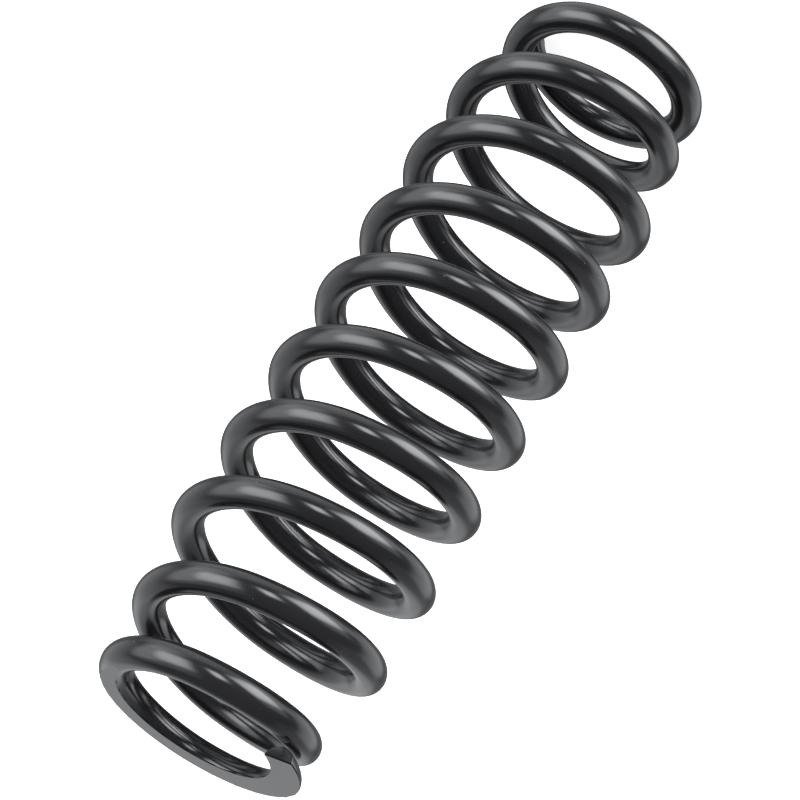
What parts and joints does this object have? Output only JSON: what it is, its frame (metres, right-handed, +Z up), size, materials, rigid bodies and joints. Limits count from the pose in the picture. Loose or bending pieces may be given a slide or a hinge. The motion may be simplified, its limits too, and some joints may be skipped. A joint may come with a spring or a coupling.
{
  "type": "coil spring",
  "caption": "Right-handed compression spring in round black wire, with smaller closed end coils ground flat to stand and bear on.",
  "frame": {"origin": "centre of the lower seat plane, on the coil axis, where the ground lower end rests", "axes": "+Z up the coil axis from the lower end to the upper end; the wire's lower tip is close to +X and the wire climbs anticlockwise seen from above"},
  "size_m": [0.0844, 0.0844, 0.2777],
  "materials": {
    "black_paint": "smooth gloss black baked paint over spring steel"
  },
  "bodies": {
    "lower_end_coil": {"lower_end_coil": "black_paint"},
    "coil_2_quarter_1": {"coil_2_quarter_1": "black_paint"},
    "coil_2_quarter_2": {"coil_2_quarter_2": "black_paint"},
    "coil_2_quarter_3": {"coil_2_quarter_3": "black_paint"},
    "coil_2_quarter_4": {"coil_2_quarter_4": "black_paint"},
    "coil_3_quarter_1": {"coil_3_quarter_1": "black_paint"},
    "coil_3_quarter_2": {"coil_3_quarter_2": "black_paint"},
    "coil_3_quarter_3": {"coil_3_quarter_3": "black_paint"},
    "coil_3_quarter_4": {"coil_3_quarter_4": "black_paint"},
    "coil_4_quarter_1": {"coil_4_quarter_1": "black_paint"},
    "coil_4_quarter_2": {"coil_4_quarter_2": "black_paint"},
    "coil_4_quarter_3": {"coil_4_quarter_3": "black_paint"},
    "coil_4_quarter_4": {"coil_4_quarter_4": "black_paint"},
    "coil_5_quarter_1": {"coil_5_quarter_1": "black_paint"},
    "coil_5_quarter_2": {"coil_5_quarter_2": "black_paint"},
    "coil_5_quarter_3": {"coil_5_quarter_3": "black_paint"},
    "coil_5_quarter_4": {"coil_5_quarter_4": "black_paint"},
    "coil_6_quarter_1": {"coil_6_quarter_1": "black_paint"},
    "coil_6_quarter_2": {"coil_6_quarter_2": "black_paint"},
    "coil_6_quarter_3": {"coil_6_quarter_3": "black_paint"},
    "coil_6_quarter_4": {"coil_6_quarter_4": "black_paint"},
    "coil_7_quarter_1": {"coil_7_quarter_1": "black_paint"},
    "coil_7_quarter_2": {"coil_7_quarter_2": "black_paint"},
    "coil_7_quarter_3": {"coil_7_quarter_3": "black_paint"},
    "coil_7_quarter_4": {"coil_7_quarter_4": "black_paint"},
    "coil_8_quarter_1": {"coil_8_quarter_1": "black_paint"},
    "coil_8_quarter_2": {"coil_8_quarter_2": "black_paint"},
    "coil_8_quarter_3": {"coil_8_quarter_3": "black_paint"},
    "coil_8_quarter_4": {"coil_8_quarter_4": "black_paint"},
    "coil_9_quarter_1": {"coil_9_quarter_1": "black_paint"},
    "coil_9_quarter_2": {"coil_9_quarter_2": "black_paint"},
    "coil_9_quarter_3": {"coil_9_quarter_3": "black_paint"},
    "coil_9_quarter_4": {"coil_9_quarter_4": "black_paint"},
    "coil_10_quarter_1": {"coil_10_quarter_1": "black_paint"},
    "coil_10_quarter_2": {"coil_10_quarter_2": "black_paint"},
    "upper_end_coil": {"upper_end_coil": "black_paint"}
  },
  "joints": [
    {"name": "compression", "type": "hinge", "parent": "lower_end_coil", "child": "coil_2_quarter_1", "pos_m": [0.03072, -0.00001, 0.01089], "axis": [0.0001, -0.9926, -0.1214], "range_deg": [0, 1.73], "stiffness_Nm_per_rad": 645.6},
    {"name": "twist_at_coil_2_quarter_2", "type": "hinge", "parent": "coil_2_quarter_1", "child": "coil_2_quarter_2", "pos_m": [-0.00055, 0.03124, 0.01844], "axis": [0.9929, 0.0003, -0.1186], "range_deg": [0, 3.45], "stiffness_Nm_per_rad": 322.8},
    {"name": "twist_at_coil_2_quarter_3", "type": "hinge", "parent": "coil_2_quarter_2", "child": "coil_2_quarter_3", "pos_m": [-0.03284, -0.00109, 0.02597], "axis": [-0.0004, 0.9936, -0.1129], "range_deg": [0, 5.17], "stiffness_Nm_per_rad": 215.2},
    {"name": "twist_at_coil_2_quarter_4", "type": "hinge", "parent": "coil_2_quarter_3", "child": "coil_2_quarter_4", "pos_m": [0.00106, -0.03494, 0.03346], "axis": [-0.9943, -0.0003, -0.1066], "range_deg": [0, 6.9], "stiffness_Nm_per_rad": 161.4},
    {"name": "twist_at_coil_3_quarter_1", "type": "hinge", "parent": "coil_2_quarter_4", "child": "coil_3_quarter_1", "pos_m": [0.03649, 0.00052, 0.0409], "axis": [0.0001, -0.9948, -0.1022], "range_deg": [0, 6.9], "stiffness_Nm_per_rad": 161.4},
    {"name": "twist_at_coil_3_quarter_2", "type": "hinge", "parent": "coil_3_quarter_1", "child": "coil_3_quarter_2", "pos_m": [0, 0.037, 0.04835], "axis": [0.9949, 0, -0.1008], "range_deg": [0, 6.9], "stiffness_Nm_per_rad": 161.4},
    {"name": "twist_at_coil_3_quarter_3", "type": "hinge", "parent": "coil_3_quarter_2", "child": "coil_3_quarter_3", "pos_m": [-0.037, 0, 0.05585], "axis": [0, 0.9949, -0.1008], "range_deg": [0, 6.9], "stiffness_Nm_per_rad": 161.4},
    {"name": "twist_at_coil_3_quarter_4", "type": "hinge", "parent": "coil_3_quarter_3", "child": "coil_3_quarter_4", "pos_m": [0, -0.037, 0.06335], "axis": [-0.9949, 0, -0.1008], "range_deg": [0, 6.9], "stiffness_Nm_per_rad": 161.4},
    {"name": "twist_at_coil_4_quarter_1", "type": "hinge", "parent": "coil_3_quarter_4", "child": "coil_4_quarter_1", "pos_m": [0.037, 0, 0.07085], "axis": [0, -0.9949, -0.1008], "range_deg": [0, 6.9], "stiffness_Nm_per_rad": 161.4},
    {"name": "twist_at_coil_4_quarter_2", "type": "hinge", "parent": "coil_4_quarter_1", "child": "coil_4_quarter_2", "pos_m": [0, 0.037, 0.07835], "axis": [0.9949, 0, -0.1008], "range_deg": [0, 6.9], "stiffness_Nm_per_rad": 161.4},
    {"name": "twist_at_coil_4_quarter_3", "type": "hinge", "parent": "coil_4_quarter_2", "child": "coil_4_quarter_3", "pos_m": [-0.037, 0, 0.08585], "axis": [0, 0.9949, -0.1008], "range_deg": [0, 6.9], "stiffness_Nm_per_rad": 161.4},
    {"name": "twist_at_coil_4_quarter_4", "type": "hinge", "parent": "coil_4_quarter_3", "child": "coil_4_quarter_4", "pos_m": [0, -0.037, 0.09335], "axis": [-0.9949, 0, -0.1008], "range_deg": [0, 6.9], "stiffness_Nm_per_rad": 161.4},
    {"name": "twist_at_coil_5_quarter_1", "type": "hinge", "parent": "coil_4_quarter_4", "child": "coil_5_quarter_1", "pos_m": [0.037, 0, 0.10085], "axis": [0, -0.9949, -0.1008], "range_deg": [0, 6.9], "stiffness_Nm_per_rad": 161.4},
    {"name": "twist_at_coil_5_quarter_2", "type": "hinge", "parent": "coil_5_quarter_1", "child": "coil_5_quarter_2", "pos_m": [0, 0.037, 0.10835], "axis": [0.9949, 0, -0.1008], "range_deg": [0, 6.9], "stiffness_Nm_per_rad": 161.4},
    {"name": "twist_at_coil_5_quarter_3", "type": "hinge", "parent": "coil_5_quarter_2", "child": "coil_5_quarter_3", "pos_m": [-0.037, 0, 0.11585], "axis": [0, 0.9949, -0.1008], "range_deg": [0, 6.9], "stiffness_Nm_per_rad": 161.4},
    {"name": "twist_at_coil_5_quarter_4", "type": "hinge", "parent": "coil_5_quarter_3", "child": "coil_5_quarter_4", "pos_m": [0, -0.037, 0.12335], "axis": [-0.9949, 0, -0.1008], "range_deg": [0, 6.9], "stiffness_Nm_per_rad": 161.4},
    {"name": "twist_at_coil_6_quarter_1", "type": "hinge", "parent": "coil_5_quarter_4", "child": "coil_6_quarter_1", "pos_m": [0.037, 0, 0.13085], "axis": [0, -0.9949, -0.1008], "range_deg": [0, 6.9], "stiffness_Nm_per_rad": 161.4},
    {"name": "twist_at_coil_6_quarter_2", "type": "hinge", "parent": "coil_6_quarter_1", "child": "coil_6_quarter_2", "pos_m": [0, 0.037, 0.13835], "axis": [0.9949, 0, -0.1008], "range_deg": [0, 6.9], "stiffness_Nm_per_rad": 161.4},
    {"name": "twist_at_coil_6_quarter_3", "type": "hinge", "parent": "coil_6_quarter_2", "child": "coil_6_quarter_3", "pos_m": [-0.037, 0, 0.14585], "axis": [0, 0.9949, -0.1008], "range_deg": [0, 6.9], "stiffness_Nm_per_rad": 161.4},
    {"name": "twist_at_coil_6_quarter_4", "type": "hinge", "parent": "coil_6_quarter_3", "child": "coil_6_quarter_4", "pos_m": [0, -0.037, 0.15335], "axis": [-0.9949, 0, -0.1008], "range_deg": [0, 6.9], "stiffness_Nm_per_rad": 161.4},
    {"name": "twist_at_coil_7_quarter_1", "type": "hinge", "parent": "coil_6_quarter_4", "child": "coil_7_quarter_1", "pos_m": [0.037, 0, 0.16085], "axis": [0, -0.9949, -0.1008], "range_deg": [0, 6.9], "stiffness_Nm_per_rad": 161.4},
    {"name": "twist_at_coil_7_quarter_2", "type": "hinge", "parent": "coil_7_quarter_1", "child": "coil_7_quarter_2", "pos_m": [0, 0.037, 0.16835], "axis": [0.9949, 0, -0.1008], "range_deg": [0, 6.9], "stiffness_Nm_per_rad": 161.4},
    {"name": "twist_at_coil_7_quarter_3", "type": "hinge", "parent": "coil_7_quarter_2", "child": "coil_7_quarter_3", "pos_m": [-0.037, 0, 0.17585], "axis": [0, 0.9949, -0.1008], "range_deg": [0, 6.9], "stiffness_Nm_per_rad": 161.4},
    {"name": "twist_at_coil_7_quarter_4", "type": "hinge", "parent": "coil_7_quarter_3", "child": "coil_7_quarter_4", "pos_m": [0, -0.037, 0.18335], "axis": [-0.9949, 0, -0.1008], "range_deg": [0, 6.9], "stiffness_Nm_per_rad": 161.4},
    {"name": "twist_at_coil_8_quarter_1", "type": "hinge", "parent": "coil_7_quarter_4", "child": "coil_8_quarter_1", "pos_m": [0.037, 0, 0.19085], "axis": [0, -0.9949, -0.1008], "range_deg": [0, 6.9], "stiffness_Nm_per_rad": 161.4},
    {"name": "twist_at_coil_8_quarter_2", "type": "hinge", "parent": "coil_8_quarter_1", "child": "coil_8_quarter_2", "pos_m": [0, 0.037, 0.19835], "axis": [0.9949, 0, -0.1008], "range_deg": [0, 6.9], "stiffness_Nm_per_rad": 161.4},
    {"name": "twist_at_coil_8_quarter_3", "type": "hinge", "parent": "coil_8_quarter_2", "child": "coil_8_quarter_3", "pos_m": [-0.037, 0, 0.20585], "axis": [0, 0.9949, -0.1008], "range_deg": [0, 6.9], "stiffness_Nm_per_rad": 161.4},
    {"name": "twist_at_coil_8_quarter_4", "type": "hinge", "parent": "coil_8_quarter_3", "child": "coil_8_quarter_4", "pos_m": [0, -0.037, 0.21335], "axis": [-0.9949, 0, -0.1008], "range_deg": [0, 6.9], "stiffness_Nm_per_rad": 161.4},
    {"name": "twist_at_coil_9_quarter_1", "type": "hinge", "parent": "coil_8_quarter_4", "child": "coil_9_quarter_1", "pos_m": [0.037, 0, 0.22085], "axis": [0, -0.9949, -0.1008], "range_deg": [0, 6.9], "stiffness_Nm_per_rad": 161.4},
    {"name": "twist_at_coil_9_quarter_2", "type": "hinge", "parent": "coil_9_quarter_1", "child": "coil_9_quarter_2", "pos_m": [0, 0.037, 0.22835], "axis": [0.9949, 0, -0.1008], "range_deg": [0, 6.9], "stiffness_Nm_per_rad": 161.4},
    {"name": "twist_at_coil_9_quarter_3", "type": "hinge", "parent": "coil_9_quarter_2", "child": "coil_9_quarter_3", "pos_m": [-0.03649, 0.00052, 0.23579], "axis": [0.0001, 0.9948, -0.1022], "range_deg": [0, 6.9], "stiffness_Nm_per_rad": 161.4},
    {"name": "twist_at_coil_9_quarter_4", "type": "hinge", "parent": "coil_9_quarter_3", "child": "coil_9_quarter_4", "pos_m": [-0.00106, -0.03494, 0.24324], "axis": [-0.9943, 0.0003, -0.1066], "range_deg": [0, 6.9], "stiffness_Nm_per_rad": 161.4},
    {"name": "twist_at_coil_10_quarter_1", "type": "hinge", "parent": "coil_9_quarter_4", "child": "coil_10_quarter_1", "pos_m": [0.03284, -0.00109, 0.25072], "axis": [-0.0004, -0.9936, -0.1129], "range_deg": [0, 5.17], "stiffness_Nm_per_rad": 215.2},
    {"name": "twist_at_coil_10_quarter_2", "type": "hinge", "parent": "coil_10_quarter_1", "child": "coil_10_quarter_2", "pos_m": [0.00055, 0.03124, 0.25825], "axis": [0.9929, -0.0003, -0.1186], "range_deg": [0, 3.45], "stiffness_Nm_per_rad": 322.8},
    {"name": "twist_at_upper_end_coil", "type": "hinge", "parent": "coil_10_quarter_2", "child": "upper_end_coil", "pos_m": [-0.03072, -0.00001, 0.26581], "axis": [0.0001, 0.9926, -0.1214], "range_deg": [0, 1.73], "stiffness_Nm_per_rad": 645.6}
  ],
  "couplings": [
    {"joint": "twist_at_coil_2_quarter_2", "follows": "compression", "ratio": 2},
    {"joint": "twist_at_coil_2_quarter_3", "follows": "compression", "ratio": 3},
    {"joint": "twist_at_coil_2_quarter_4", "follows": "compression", "ratio": 4},
    {"joint": "twist_at_coil_3_quarter_1", "follows": "compression", "ratio": 4},
    {"joint": "twist_at_coil_3_quarter_2", "follows": "compression", "ratio": 4},
    {"joint": "twist_at_coil_3_quarter_3", "follows": "compression", "ratio": 4},
    {"joint": "twist_at_coil_3_quarter_4", "follows": "compression", "ratio": 4},
    {"joint": "twist_at_coil_4_quarter_1", "follows": "compression", "ratio": 4},
    {"joint": "twist_at_coil_4_quarter_2", "follows": "compression", "ratio": 4},
    {"joint": "twist_at_coil_4_quarter_3", "follows": "compression", "ratio": 4},
    {"joint": "twist_at_coil_4_quarter_4", "follows": "compression", "ratio": 4},
    {"joint": "twist_at_coil_5_quarter_1", "follows": "compression", "ratio": 4},
    {"joint": "twist_at_coil_5_quarter_2", "follows": "compression", "ratio": 4},
    {"joint": "twist_at_coil_5_quarter_3", "follows": "compression", "ratio": 4},
    {"joint": "twist_at_coil_5_quarter_4", "follows": "compression", "ratio": 4},
    {"joint": "twist_at_coil_6_quarter_1", "follows": "compression", "ratio": 4},
    {"joint": "twist_at_coil_6_quarter_2", "follows": "compression", "ratio": 4},
    {"joint": "twist_at_coil_6_quarter_3", "follows": "compression", "ratio": 4},
    {"joint": "twist_at_coil_6_quarter_4", "follows": "compression", "ratio": 4},
    {"joint": "twist_at_coil_7_quarter_1", "follows": "compression", "ratio": 4},
    {"joint": "twist_at_coil_7_quarter_2", "follows": "compression", "ratio": 4},
    {"joint": "twist_at_coil_7_quarter_3", "follows": "compression", "ratio": 4},
    {"joint": "twist_at_coil_7_quarter_4", "follows": "compression", "ratio": 4},
    {"joint": "twist_at_coil_8_quarter_1", "follows": "compression", "ratio": 4},
    {"joint": "twist_at_coil_8_quarter_2", "follows": "compression", "ratio": 4},
    {"joint": "twist_at_coil_8_quarter_3", "follows": "compression", "ratio": 4},
    {"joint": "twist_at_coil_8_quarter_4", "follows": "compression", "ratio": 4},
    {"joint": "twist_at_coil_9_quarter_1", "follows": "compression", "ratio": 4},
    {"joint": "twist_at_coil_9_quarter_2", "follows": "compression", "ratio": 4},
    {"joint": "twist_at_coil_9_quarter_3", "follows": "compression", "ratio": 4},
    {"joint": "twist_at_coil_9_quarter_4", "follows": "compression", "ratio": 4},
    {"joint": "twist_at_coil_10_quarter_1", "follows": "compression", "ratio": 3},
    {"joint": "twist_at_coil_10_quarter_2", "follows": "compression", "ratio": 2},
    {"joint": "twist_at_upper_end_coil", "follows": "compression", "ratio": 1}
  ]
}
